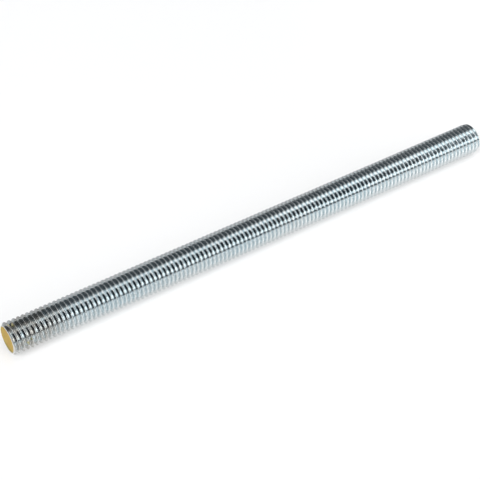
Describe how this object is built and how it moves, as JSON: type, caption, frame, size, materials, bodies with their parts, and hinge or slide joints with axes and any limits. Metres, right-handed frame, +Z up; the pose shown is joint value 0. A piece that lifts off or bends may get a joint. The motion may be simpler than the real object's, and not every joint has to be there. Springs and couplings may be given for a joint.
{
  "type": "threaded rod",
  "caption": "Straight steel rod with a coarse metric thread along its whole length and chamfered ends, for nuts and tapped holes.",
  "frame": {"origin": "middle of the rod's axis", "axes": "X along the rod, with the paint-marked end facing -X; +Z up as the rod lies"},
  "size_m": [0.205, 0.012, 0.012],
  "materials": {
    "zinc_plated_steel": "bright zinc plating with a slight blue tint over a rolled thread; the sawn end that faces -X is dabbed with yellow paint"
  },
  "bodies": {
    "root": {"threaded_rod": "zinc_plated_steel"}
  },
  "joints": []
}
